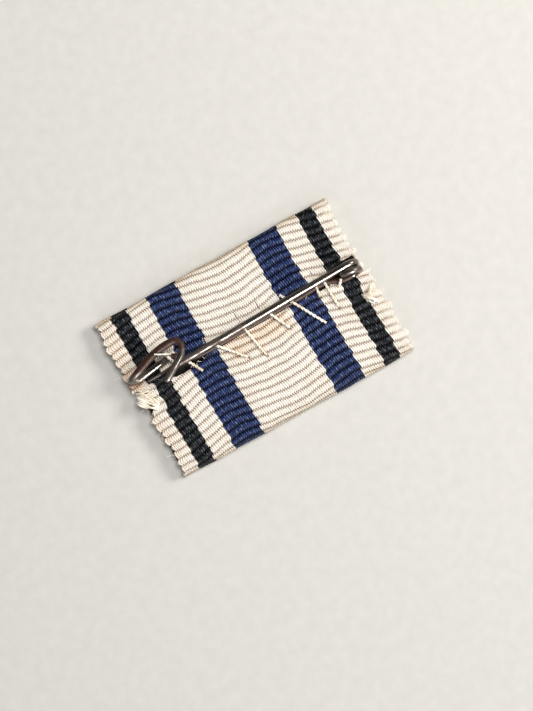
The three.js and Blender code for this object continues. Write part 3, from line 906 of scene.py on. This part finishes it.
def tube_along(name, route, radius, sides=3):
    """A round tube; radius is one number or one for each point of the route."""
    radius = np.broadcast_to(radius, len(route))
    piece = curve_along(name, route)
    piece.data.bevel_depth = float(radius.max()) * MM
    piece.data.bevel_resolution = sides
    piece.data.use_fill_caps = True
    for point, share in zip(piece.data.splines[0].points, radius / radius.max()):
        point.radius = float(share)
    select(piece)
    bpy.ops.object.convert(target="MESH")
    piece = bpy.context.object
    piece.name = name
    return piece


def ring_of_points(piece, route):
    """For every mesh point, the index of the nearest place on the route."""
    co = np.array([v.co for v in piece.data.vertices]) / MM
    out = np.empty(len(co), int)
    for start in range(0, len(co), 500):
        gap = np.linalg.norm(co[start : start + 500, None] - np.array(route)[None], axis=2)
        out[start : start + 500] = gap.argmin(1)
    return co, out


def finish_wire(piece, route, body, node, rust_and_shade):
    route = np.array(route)
    co, ring = ring_of_points(piece, route)
    run = np.concatenate([[0], np.cumsum(np.linalg.norm(np.diff(route, axis=0), axis=1))])
    way = np.gradient(route, axis=0)
    way /= np.linalg.norm(way, axis=1)[:, None]
    side = np.cross(way, (0, 0, 1))
    side /= np.linalg.norm(side, axis=1)[:, None] + 1e-9
    up = np.cross(side, way)
    off = co - route[ring]
    angle = np.arctan2((off * up[ring]).sum(1), (off * side[ring]).sum(1))
    layer = piece.data.attributes.new("wire_place", "FLOAT_VECTOR", "POINT")
    unrolled = np.stack([run[ring], WIRE * np.abs(angle), 0 * angle], -1) * MM
    layer.data.foreach_set("vector", unrolled.astype(np.float32).ravel())
    keep_number(piece.data, "rust_and_shade", rust_and_shade(co))
    select(piece)
    bpy.ops.object.mode_set(mode="EDIT")
    bpy.ops.mesh.select_all(action="SELECT")
    bpy.ops.mesh.normals_make_consistent(inside=False)
    bpy.ops.object.mode_set(mode="OBJECT")
    bpy.ops.object.shade_smooth_by_angle(angle=math.radians(50))
    piece.data.materials.append(wire_steel)
    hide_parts(node)
    if body:
        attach(piece, body)
    print(piece.name, len(piece.data.polygons), "faces,", round(run[-1], 1), "mm of wire")


print("wire radius", WIRE, "mm")

# %% [markdown]
# The base leg lies in the seam, climbs out, and goes round the hook. Its bends were hand-made with
# pliers, so the loop is open and uneven. The loop's last stretch passes over the needle, which is
# how it holds the point down.

# %% Base leg and hook
CROSS_Y = 1.305
CLIMB_Z = 1.54
base_points = [
    (11.06, 0.688, CLIMB_Z), (10.16, 0.728, CLIMB_Z), (8.51, 1.336, CLIMB_Z), (5.555, 1.289, CLIMB_Z),
    (0, 1.2, CLIMB_Z), (-4.9, 1.122, CLIMB_Z), (-6.1, 1.285, CLIMB_Z), (-7.1, 1.925, 1.6),
    (-7.9, 2.255, 1.87), (-8.9, 2.185, 2.09), (-10.5, 1.965, 2.09), (-11.6, 1.825, 2.12),
    (-12.12, 2.025, 2.54), (-11.6, 2.285, 2.99), (-10.5, 2.705, 3.09), (-8.9, 3.255, 3.16),
    (-7.4, 3.455, 3.2), (-6.6, 3.355, 3.21), (-6.3, 2.855, 3.21), (-6.65, 2.105, 3.19),
    (-7.4, 1.545, 3.17), (-8.6, 0.785, 3.12), (-9.3, 0.385, 3.08),
]
base_route = smooth_route(base_points, 9)
end_share = np.ones(len(base_route))
end_share[-4:] = (0.97, 0.9, 0.78, 0.6)
flattened = smooth(-6.6, -7.6, base_route[:, 0]) * smooth(2.3, 2.7, base_route[:, 1])  # by the pliers
base_leg = tube_along("pin_base_leg", base_route, WIRE * (end_share + 0.14 * flattened), 5)


def hook_rust_and_shade(co):
    on_hook = smooth(-5.5, -7.5, co[:, 0])
    # In the seam the wire is made dark brown rust as painted shade of the gap.
    seam_shade = smooth(2.2, 1.95, co[:, 2]) * smooth(-8.2, -7.6, co[:, 0])
    far_strand = smooth(2.6, 2.9, co[:, 2]) * smooth(2.2, 2.6, co[:, 1])
    return 0.02 + 0.1 * on_hook + 0.45 * seam_shade + 0.34 * far_strand


finish_wire(base_leg, base_route, "bar", "base_wire", hook_rust_and_shade)

# %% [markdown]
# The spring is two half turns and a whole one between the base leg and the needle. The middle turn
# twists as the needle is lifted, so it is blended between the body it starts on and the one it ends
# on. Each ring of the wire gets one weight, from its place along the turn, so that the wire stays
# round as it twists.

# %% Spring coil and needle root
COIL_X, COIL_Y, COIL_Z, COIL_R, PITCH = 11.11, 1.798, 2.34, 0.8, 0.74


def coil_route(start, stop, count):
    turn = np.linspace(start, stop, count)
    angle = math.pi / 2 - 2 * math.pi * turn
    x = COIL_X + COIL_R * np.cos(angle)
    z = COIL_Z + COIL_R * np.sin(angle)
    return np.stack([x, COIL_Y - PITCH * turn, z], -1), turn


spring_route, spring_turn = coil_route(0.5, 1.5, 49)
spring = tube_along("spring_turn", spring_route, WIRE, 5)
finish_wire(spring, spring_route, None, "spring_coil", lambda co: 0.1 + 0 * co[:, 0])
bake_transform(spring, "spring", "needle", start=tuple(spring_route[-1] * MM), end=tuple(spring_route[0] * MM))
_, spring_ring = ring_of_points(spring, spring_route)
spring.data.attributes["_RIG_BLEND"].data.foreach_set(
    "value", (1.5 - spring_turn[spring_ring]).astype(np.float32)
)
print("spring blends over", len(spring_route), "rings")

# %% [markdown]
# The needle is drawn to a point: the shank keeps its thickness for most of its length, narrows in a
# short filed neck and runs on slim to the tip.

# %% Needle
TIP = np.array([-11.05, 1.223, 2.4])
ROOT = np.array([COIL_X, COIL_Y, COIL_Z + COIL_R])
shank = np.linspace(ROOT, TIP, 70)[1:]
shank_left = np.linalg.norm(shank - TIP, axis=1)
half_turn, _ = coil_route(0.5, 0.0, 25)
needle_route = np.vstack([half_turn, shank])
shank_radius = np.interp(shank_left, [0, 0.1, 2.3, 4.4, 5], [0.015, 0.05, 0.18, WIRE, WIRE])
needle_radius = np.concatenate([np.full(25, WIRE), shank_radius])
needle = tube_along("needle_wire", needle_route, needle_radius, 5)


def needle_rust_and_shade(co):
    # The left half is made rustier and duller as painted shade, where the highlight fades.
    return 0.1 * smooth(-7.5, -9, co[:, 0]) + 0.23 * smooth(2, -3, co[:, 0]) - 0.06


finish_wire(needle, needle_route, "needle", "needle", needle_rust_and_shade)

# %% [markdown]
# ## The sewing thread
#
# The pin is sewn down with undyed cotton, two plies twisted together. Each ply is a round section,
# and a Screw modifier sweeps the pair round a common axis, which is just what twisting does. A Curve
# modifier then lays the straight twisted length along its route.

# %% Cotton thread finish
cotton, cotton_tree, cotton_shader = start_material(
    "undyed cotton thread", Roughness=0.75, Specular_IOR_Level=0.3, Sheen_Weight=0.3, Sheen_Roughness=0.5
)
cotton_place = add_node(cotton_tree, "ShaderNodeTexCoord").outputs["Object"]
cotton_tone = colour("#f4eee2")
for size, detail, low, high, most, tint in [
    (1.1, 3, 0.4, 0.7, 1, "#dccbae"),  # soil
    (0.05, 2, 0.4, 0.75, 0.18, "#a08c70"),  # fibres
]:
    inputs = {"Vector": cotton_place, "Scale": 1 / (size * MM), "Detail": detail}
    cotton_noise = add_node(cotton_tree, "ShaderNodeTexNoise", inputs).outputs["Fac"]
    inputs = {0: cotton_noise, 1: low, 2: high, 4: most}
    share = add_node(cotton_tree, "ShaderNodeMapRange", inputs).outputs[0]
    layer = {0: share, 6: cotton_tone, 7: colour(tint)}
    cotton_tone = add_node(cotton_tree, "ShaderNodeMix", layer, data_type="RGBA").outputs[2]
cotton_tree.links.new(cotton_tone, cotton_shader.inputs["Base Color"])
cotton_bump = add_node(
    cotton_tree,
    "ShaderNodeBump",
    {"Height": cotton_noise, "Strength": 0.4, "Distance": 0.02 * MM},
)
cotton_tree.links.new(cotton_bump.outputs["Normal"], cotton_shader.inputs["Normal"])
print("thread has", len(cotton_tree.nodes), "nodes")


# %% Twisted thread along a route
def twisted_thread(name, route, radius=0.13, lay=0.85):
    """Two plies twisted once every lay mm, laid along the route; radius is that of the whole thread."""
    route = np.array(route, float)
    length = np.linalg.norm(np.diff(route, axis=0), axis=1).sum()
    path = curve_along(name + "_route", route)
    bpy.ops.object.select_all(action="DESELECT")
    for side in (-1, 1):
        bpy.ops.mesh.primitive_circle_add(
            vertices=7, radius=radius * 0.7 * MM, fill_type="NGON", location=(side * radius * 0.36 * MM, 0, 0)
        )
        bpy.ops.object.transform_apply(location=True)
        if side < 0:
            first = bpy.context.object
    bpy.context.object.select_set(True)
    first.select_set(True)
    bpy.context.view_layer.objects.active = first
    bpy.ops.object.join()
    thread = bpy.context.object
    thread.name = name
    turns = max(1, round(length / lay))
    twist = thread.modifiers.new("twist", "SCREW")
    twist.axis = "Z"
    twist.angle = 2 * math.pi * turns
    twist.screw_offset = length * MM
    twist.steps = twist.render_steps = 10 * turns
    twist.use_merge_vertices = False
    bpy.ops.object.modifier_apply(modifier="twist")
    bend = thread.modifiers.new("bend", "CURVE")
    bend.object = path
    bend.deform_axis = "POS_Z"
    bpy.ops.object.modifier_apply(modifier="bend")
    bpy.data.objects.remove(path)
    return thread


def close_ends(piece):
    """Fills the open ends of a swept tube and points its faces outwards."""
    select(piece)
    bpy.ops.object.mode_set(mode="EDIT")
    bpy.ops.mesh.select_all(action="SELECT")
    bpy.ops.mesh.remove_doubles(threshold=0.0005 * MM)
    bpy.ops.mesh.select_all(action="DESELECT")
    bpy.ops.mesh.select_mode(type="EDGE")
    bpy.ops.mesh.select_non_manifold(
        extend=False, use_wire=False, use_multi_face=False, use_non_contiguous=False
    )
    bpy.ops.mesh.fill_holes(sides=0)
    bpy.ops.mesh.select_mode(type="FACE")
    bpy.ops.mesh.select_all(action="SELECT")
    bpy.ops.mesh.normals_make_consistent(inside=False)
    bpy.ops.object.mode_set(mode="OBJECT")
    bpy.ops.object.shade_smooth_by_angle(angle=math.radians(60))


test_thread = twisted_thread("test", [(0, 0, 10), (2, 0, 10), (4, 1, 10)])
print("test thread", [round(v / MM, 2) for v in test_thread.dimensions])
bpy.data.objects.remove(test_thread)

# %% [markdown]
# A stitch comes up through the upper flap beside the pin, passes over the base leg under the needle,
# and goes down through the lower flap. Cut ends lie loose across the seam in the same way.

# %% Stitches and loose ends
ON_RIBBON = BACK + 0.08
ON_WIRE = CLIMB_Z + WIRE + 0.13


def lying_z(x, y):
    near = np.maximum(0, 1 - np.abs(y - seam_y(x)))
    return ON_RIBBON + (ON_WIRE - ON_RIBBON) * smooth(0, 1, near)


def stitch_route(x, run, down):
    up, low = (np.array(end) for end in stitch_ends(x, run, down))
    length = np.linalg.norm(low - up)
    flat = [up + (low - up) * part for part in np.linspace(0.18 / length, 1 - 0.18 / length, 14)]
    middle_line = [(px, py, lying_z(px, py)) for px, py in flat]
    return smooth_route([(*up, 1.3), (*up, BACK - 0.2), *middle_line, (*low, BACK - 0.2), (*low, 1.3)], 3)


LOOSE_ENDS = {
    "thread_end_1": (-6.85, 0.35, 1.13, 1.8, 0),
    "thread_end_2": (4.1, 1.13, 2.67, 4.48, 0),
    "thread_end_3": (9.95, -0.45, -0.45, 0.55, 0.12),
}


def loose_route(x, up, run, fall, rise):
    part = np.linspace(0, 1, 16)
    px = x + run * part + 0.04 * np.sin(5 * part)
    py = seam_y(x) + up - fall * part
    return smooth_route(np.stack([px, py, lying_z(px, py) + rise], -1), 2)


def place_thread(piece, node):
    close_ends(piece)
    piece.data.materials.append(cotton)
    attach(piece, "bar")
    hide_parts(node)


for name, stitch in STITCHES.items():
    place_thread(twisted_thread("sewn_" + name, stitch_route(*stitch), 0.14), name)
for name, end in LOOSE_ENDS.items():
    place_thread(twisted_thread("cut_" + name, loose_route(*end), 0.15), name)
print(len(STITCHES), "stitches and", len(LOOSE_ENDS), "loose ends")

# %% [markdown]
# Where the wire climbs out, a short bar of thread binds the foot of the hook, and its long end was
# laid over the hook's upper strand.

# %% Binding of the hook
bind_x = -HALF_WIDTH + 4.55
bind_y = CROSS_Y + 0.93
bind_half = WIRE + 0.13 + 0.16
bind_top = 2.09 + WIRE + 0.13
binding_route = smooth_route(
    [
        (bind_x + 0.15, bind_y - bind_half, 1.6), (bind_x + 0.12, bind_y - 0.8 * bind_half, 2.05),
        (bind_x, bind_y, bind_top), (bind_x - 0.12, bind_y + 0.8 * bind_half, 2.05),
        (bind_x - 0.15, bind_y + bind_half, 1.6),
    ],
    8,
)
place_thread(twisted_thread("hook_binding", binding_route, 0.17), "binding")
over = 3.16 + WIRE + 0.1
binding_end_route = smooth_route(
    [
        (bind_x + 0.3, bind_y + 0.23, 2.65), (bind_x + 0.1, bind_y + 0.34, 3.19),
        (bind_x - 0.35, bind_y + 0.57, over - 0.1), (bind_x - 1.0, bind_y + 0.92, over + 0.05),
    ],
    10,
)
place_thread(twisted_thread("hook_binding_end", binding_end_route, 0.09), "binding_end")
print("binding", len(binding_route), "points, end", len(binding_end_route))

# %% [markdown]
# ## Fastened-off ends
#
# At each end of the seam the thread is taken several times round the selvedge and drawn tight. The
# strands lie side by side as a shiny bunch. One strand is a twisted thread again; each takes a
# slightly different way over the edge.


# %% Knots at the selvedges
def joined(pieces, name):
    select(*pieces)
    bpy.ops.object.join()
    bpy.context.object.name = name
    return bpy.context.object


left_strands = []
for i in range(6):
    aside = (i - 2.5) * 0.18
    wobble = rng.normal(0, 0.045, 8)
    across_bunch = [
        (-11.15, -1.3, 1.62), (-11.3, -0.98, 1.82), (-11.6, -0.62, 1.95), (-11.95, -0.28, 1.98),
        (-12.3, 0.02, 1.82), (-12.5, 0.2, 1.5), (-12.48, 0.24, 1.1),
    ]
    route = [
        (
            x + 0.72 * aside * width + wobble[k],
            y + 0.7 * aside * width + wobble[k + 1],
            z + 0.1 * ((i + k) % 2),
        )
        for k, ((x, y, z), width) in enumerate(zip(across_bunch, (0.55, 0.8, 1.1, 1.2, 1.1, 0.9, 0.8)))
    ]
    left_strands.append(twisted_thread(f"left_strand_{i}", smooth_route(route, 4), 0.14, 1.9))
for i in range(3):
    lean = 0.3 * i
    route = [
        (-12.45, 0.75 - lean, 1.45),
        (-12.1, 0.62 - lean, 1.85),
        (-11.6, 0.5 - lean, 1.9),
        (-11.2, 0.42 - 0.6 * lean, 1.7),
    ]
    left_strands.append(twisted_thread(f"left_wrap_{i}", smooth_route(route, 5), 0.11, 1.6))
for i, (start, stop) in enumerate([((-10.75, 0.34), (-11.7, 0.05)), ((-10.75, -0.28), (-11.8, -0.3))]):
    route = [(*start, 1.8), ((start[0] + stop[0]) / 2, (start[1] + stop[1]) / 2 + 0.05, 1.88), (*stop, 1.86)]
    left_strands.append(twisted_thread(f"left_tail_{i}", smooth_route(route, 5), 0.08, 1.2))
place_thread(joined(left_strands, "fastened_left"), "knot_left")

right_strands = []
for i in range(7):
    spread = (i % 4 - 1.5) * 0.15
    wobble = rng.normal(0, 0.04, 4)
    if i < 4:
        ends = ((12.45, -1.15 + spread), (11.15, -2.0 + spread))
    else:
        ends = ((11.0, -1.45 + spread), (12.1, -2.6 + spread))
    (ax, ay), (bx, by) = ends
    route = [(ax, ay, 1.5), (ax + 0.25 * (bx - ax), ay + 0.2 * (by - ay) + wobble[0], 1.83)]
    route += [((ax + bx) / 2 + wobble[1], (ay + by) / 2 + wobble[2], 1.86 + 0.06 * (i % 3))]
    route += [(ax + 0.8 * (bx - ax), ay + 0.8 * (by - ay) + wobble[3], 1.82), (bx, by, 1.55)]
    right_strands.append(twisted_thread(f"right_strand_{i}", smooth_route(route, 5), 0.085, 1.1))
curl = [(11.6 + 0.25 * math.cos(a), -2.33 + 0.25 * math.sin(a), 1.86) for a in np.linspace(0.6, 5.4, 14)]
right_strands.append(twisted_thread("right_curl", smooth_route(curl, 2), 0.07, 0.9))
place_thread(joined(right_strands, "fastened_right"), "knot_right")
print("knots of", len(left_strands), "and", len(right_strands), "strands")

# %% [markdown]
# Age and handling have pulled single fibres out of the selvedges and the cut ends. Each is a hair-thin
# curved tube, about 0.03 mm thick. They are few, and they make the edge look like cloth.

# %% Loose fibres
hairs = []
hair_roots = [  # x and y of the root, and how far the hair reaches from it
    (-12.6, 2.45, -1.0, 0.45), (-12.3, -0.9, -0.8, -0.25), (-12.2, -6.1, -0.5, 0.2),
    (-12.1, -3.4, -0.35, -0.3), (12.7, -2.2, 0.35, 0.2), (12.75, -2.9, 0.3, -0.3),
    (12.6, -1.0, 0.3, 0.3), (12.9, -7.6, 0.2, -0.2), (-4.45, 1.9, 0.15, 0.5),
    (-4.3, 1.9, 0.4, 0.4), (-4.1, 1.8, 0.45, 0.15), (-11.6, -1.6, -0.6, -0.3),
]
for x, dx in zip(rng.uniform(-8, 9, 12), rng.normal(0, 0.25, 12)):
    hair_roots.append((float(x), float(lower_cut(x)) - 0.1, 0.6 * float(dx), 0.17))
for i, (x, y, dx, dy) in enumerate(hair_roots):
    bend_x, bend_y = rng.normal(0, 0.14, 2)
    middle = (x + 0.45 * dx + bend_x, y + 0.45 * dy + bend_y, 1.78)
    line = [(x - 0.1 * dx, y - 0.1 * dy, 1.5), middle, (x + dx, y + dy, 1.7)]
    hairs.append(tube_along(f"hair_{i}", smooth_route(line, 5), 0.018, 1))
fibres = joined(hairs, "loose_fibres")
fibres.data.materials.append(cotton)
bpy.ops.object.shade_smooth()
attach(fibres, "bar")
print("loose fibres:", len(hairs))
